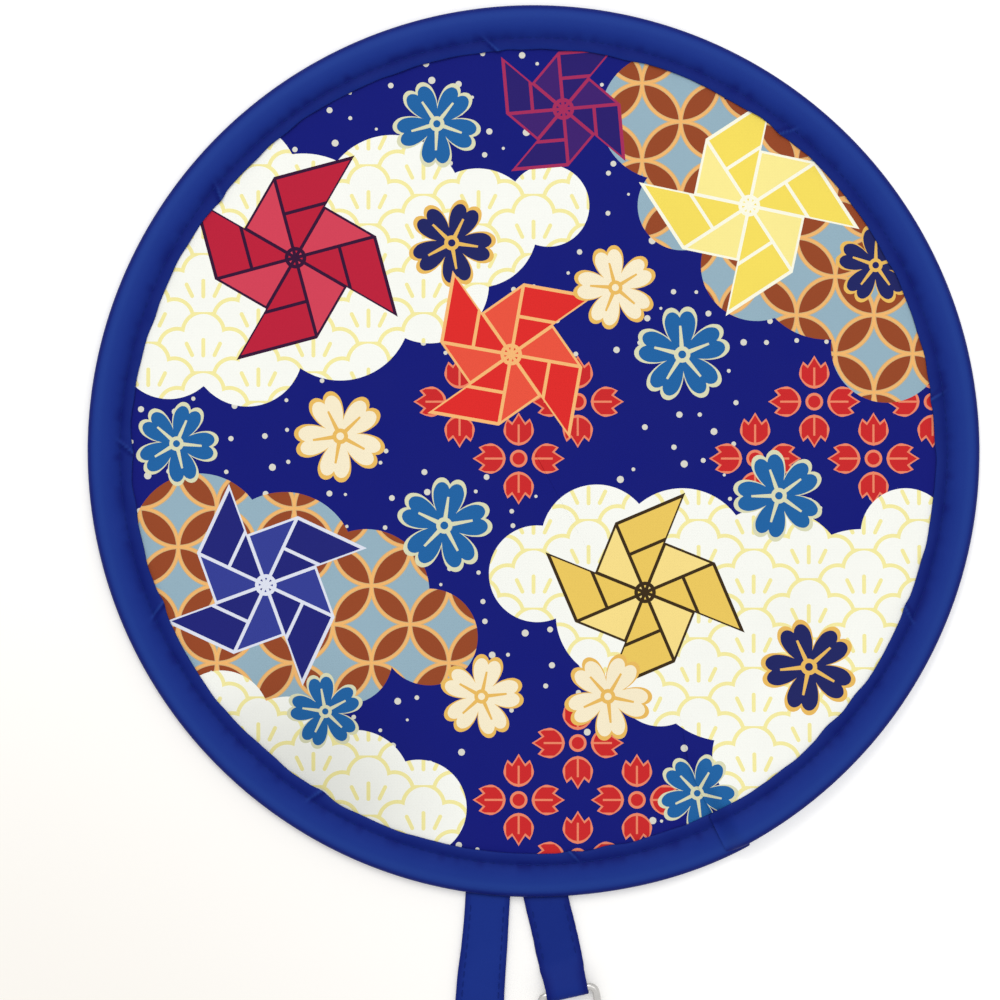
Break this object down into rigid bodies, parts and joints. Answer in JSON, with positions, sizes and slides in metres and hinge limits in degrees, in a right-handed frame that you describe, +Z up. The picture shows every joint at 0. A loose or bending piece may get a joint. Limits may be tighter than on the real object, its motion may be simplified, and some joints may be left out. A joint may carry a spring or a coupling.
{
  "type": "twist-fold hand fan",
  "caption": "Round pop-up hand fan: printed cloth stretched in a sprung wire hoop with a sewn edge tape, which twists and coils into small loops, with a strap and hook and a ring tab.",
  "frame": {"origin": "centre of the hoop, on the surface the fan lies on", "axes": "+Z up out of the printed face, -Y towards the straps, +X to the right seen from above"},
  "size_m": [0.24, 0.3489, 0.0073],
  "materials": {
    "spring_steel": "drawn spring wire",
    "edge_tape": "royal blue polyester tape, folded and sewn",
    "printed_sheet": "thin printed polyester, navy ground with cream, sky blue, brown and red",
    "strap": "royal blue polyester strap, folded and sewn",
    "nickel": "nickel-plated metal"
  },
  "bodies": {
    "link_01": {"hoop_wire_01": "spring_steel", "edge_tape_01": "edge_tape"},
    "link_02": {"hoop_wire_02": "spring_steel", "edge_tape_02": "edge_tape", "printed_sheet": "printed_sheet"},
    "link_03": {"hoop_wire_03": "spring_steel", "edge_tape_03": "edge_tape"},
    "link_04": {"hoop_wire_04": "spring_steel", "edge_tape_04": "edge_tape"},
    "link_05": {"hoop_wire_05": "spring_steel", "edge_tape_05": "edge_tape"},
    "link_06": {"hoop_wire_06": "spring_steel", "edge_tape_06": "edge_tape"},
    "link_07": {"hoop_wire_07": "spring_steel", "edge_tape_07": "edge_tape"},
    "link_08": {"hoop_wire_08": "spring_steel", "edge_tape_08": "edge_tape"},
    "link_09": {"hoop_wire_09": "spring_steel", "edge_tape_09": "edge_tape"},
    "link_10": {"hoop_wire_10": "spring_steel", "edge_tape_10": "edge_tape"},
    "link_11": {"hoop_wire_11": "spring_steel", "edge_tape_11": "edge_tape"},
    "link_12": {"hoop_wire_12": "spring_steel", "edge_tape_12": "edge_tape"},
    "link_13": {"hoop_wire_13": "spring_steel", "edge_tape_13": "edge_tape"},
    "link_14": {"hoop_wire_14": "spring_steel", "edge_tape_14": "edge_tape"},
    "link_15": {"hoop_wire_15": "spring_steel", "edge_tape_15": "edge_tape"},
    "link_16": {"hoop_wire_16": "spring_steel", "edge_tape_16": "edge_tape"},
    "link_17": {"hoop_wire_17": "spring_steel", "edge_tape_17": "edge_tape"},
    "link_18": {"hoop_wire_18": "spring_steel", "edge_tape_18": "edge_tape"},
    "left_strap": {"left_strap": "strap"},
    "hook": {"hook_body": "nickel", "hook_pin": "nickel"},
    "gate": {"hook_gate": "nickel"},
    "right_strap": {"right_strap": "strap"},
    "ring": {"d_ring": "nickel"}
  },
  "joints": [
    {"name": "hoop_fold", "type": "hinge", "parent": "link_02", "child": "link_01", "pos_m": [0.01753, -0.11457, 0.0017], "axis": [-0.0431, -0.0066, 0.999], "range_deg": [0, 40], "stiffness_Nm_per_rad": 0.02, "deforming": ["printed_sheet"]},
    {"name": "hoop_fold_02", "type": "hinge", "parent": "link_02", "child": "link_03", "pos_m": [-0.02271, -0.11365, 0.0017], "axis": [0.0428, -0.0085, -0.999], "range_deg": [0, 40]},
    {"name": "hoop_fold_03", "type": "hinge", "parent": "link_03", "child": "link_04", "pos_m": [-0.06021, -0.09903, 0.0017], "axis": [0.0373, -0.0227, -0.999], "range_deg": [0, 40]},
    {"name": "hoop_fold_04", "type": "hinge", "parent": "link_04", "child": "link_05", "pos_m": [-0.09045, -0.07247, 0.0017], "axis": [0.0273, -0.034, -0.999], "range_deg": [0, 40]},
    {"name": "hoop_fold_05", "type": "hinge", "parent": "link_05", "child": "link_06", "pos_m": [-0.10978, -0.03716, 0.0017], "axis": [0.014, -0.0413, -0.999], "range_deg": [0, 40]},
    {"name": "hoop_fold_06", "type": "hinge", "parent": "link_06", "child": "link_07", "pos_m": [-0.11587, 0.00263, 0.0017], "axis": [-0.001, -0.0436, -0.999], "range_deg": [0, 40]},
    {"name": "hoop_fold_07", "type": "hinge", "parent": "link_07", "child": "link_08", "pos_m": [-0.10798, 0.0421, 0.0017], "axis": [-0.0158, -0.0406, -0.999], "range_deg": [0, 40]},
    {"name": "hoop_fold_08", "type": "hinge", "parent": "link_08", "child": "link_09", "pos_m": [-0.08707, 0.07649, 0.0017], "axis": [-0.0288, -0.0328, -0.999], "range_deg": [0, 40]},
    {"name": "hoop_fold_09", "type": "hinge", "parent": "link_09", "child": "link_10", "pos_m": [-0.05566, 0.10166, 0.0017], "axis": [-0.0383, -0.0209, -0.999], "range_deg": [0, 40]},
    {"name": "hoop_fold_10", "type": "hinge", "parent": "link_10", "child": "link_11", "pos_m": [-0.01753, 0.11457, 0.0017], "axis": [-0.0431, -0.0066, -0.999], "range_deg": [0, 40]},
    {"name": "hoop_fold_11", "type": "hinge", "parent": "link_11", "child": "link_12", "pos_m": [0.02271, 0.11365, 0.0017], "axis": [-0.0428, 0.0085, -0.999], "range_deg": [0, 40]},
    {"name": "hoop_fold_12", "type": "hinge", "parent": "link_12", "child": "link_13", "pos_m": [0.06021, 0.09903, 0.0017], "axis": [-0.0373, 0.0227, -0.999], "range_deg": [0, 40]},
    {"name": "hoop_fold_13", "type": "hinge", "parent": "link_13", "child": "link_14", "pos_m": [0.09045, 0.07247, 0.0017], "axis": [-0.0273, 0.034, -0.999], "range_deg": [0, 40]},
    {"name": "hoop_fold_14", "type": "hinge", "parent": "link_14", "child": "link_15", "pos_m": [0.10978, 0.03716, 0.0017], "axis": [-0.014, 0.0413, -0.999], "range_deg": [0, 40]},
    {"name": "hoop_fold_15", "type": "hinge", "parent": "link_15", "child": "link_16", "pos_m": [0.11587, -0.00263, 0.0017], "axis": [0.0001, 0.0054, -1], "range_deg": [0, 40]},
    {"name": "hoop_fold_16", "type": "hinge", "parent": "link_16", "child": "link_17", "pos_m": [0.10798, -0.04207, 0.00321], "axis": [0.015, 0.0024, -0.9999], "range_deg": [0, 40]},
    {"name": "hoop_fold_17", "type": "hinge", "parent": "link_17", "child": "link_18", "pos_m": [0.08707, -0.07644, 0.00455], "axis": [0.0279, -0.0054, -0.9996], "range_deg": [0, 40]},
    {"name": "left_strap_swing", "type": "hinge", "parent": "link_02", "child": "left_strap", "pos_m": [-0.01232, -0.12027, 0.0006], "axis": [-0.9948, 0.1019, 0], "range_deg": [0, 82]},
    {"name": "hook_flip", "type": "hinge", "parent": "left_strap", "child": "hook", "pos_m": [-0.01707, -0.20514, 0.0019], "axis": [-0.9984, 0.0558, 0], "range_deg": [0, 120]},
    {"name": "gate_press", "type": "hinge", "parent": "hook", "child": "gate", "pos_m": [-0.01468, -0.21496, 0.0019], "axis": [0, 0, -1], "range_deg": [0, 25], "stiffness_Nm_per_rad": 0.01},
    {"name": "right_strap_swing", "type": "hinge", "parent": "link_02", "child": "right_strap", "pos_m": [0.00363, -0.12085, 0.0006], "axis": [-0.9995, -0.03, 0], "range_deg": [0, 82]},
    {"name": "ring_flip", "type": "hinge", "parent": "right_strap", "child": "ring", "pos_m": [0.00905, -0.14525, 0.0019], "axis": [-0.9762, -0.2168, 0], "range_deg": [0, 120]}
  ],
  "couplings": [
    {"joint": "hoop_fold_02", "follows": "hoop_fold", "ratio": 1},
    {"joint": "hoop_fold_03", "follows": "hoop_fold", "ratio": 1},
    {"joint": "hoop_fold_04", "follows": "hoop_fold", "ratio": 1},
    {"joint": "hoop_fold_05", "follows": "hoop_fold", "ratio": 1},
    {"joint": "hoop_fold_06", "follows": "hoop_fold", "ratio": 1},
    {"joint": "hoop_fold_07", "follows": "hoop_fold", "ratio": 1},
    {"joint": "hoop_fold_08", "follows": "hoop_fold", "ratio": 1},
    {"joint": "hoop_fold_09", "follows": "hoop_fold", "ratio": 1},
    {"joint": "hoop_fold_10", "follows": "hoop_fold", "ratio": 1},
    {"joint": "hoop_fold_11", "follows": "hoop_fold", "ratio": 1},
    {"joint": "hoop_fold_12", "follows": "hoop_fold", "ratio": 1},
    {"joint": "hoop_fold_13", "follows": "hoop_fold", "ratio": 1},
    {"joint": "hoop_fold_14", "follows": "hoop_fold", "ratio": 1},
    {"joint": "hoop_fold_15", "follows": "hoop_fold", "ratio": 1},
    {"joint": "hoop_fold_16", "follows": "hoop_fold", "ratio": 1},
    {"joint": "hoop_fold_17", "follows": "hoop_fold", "ratio": 1}
  ]
}
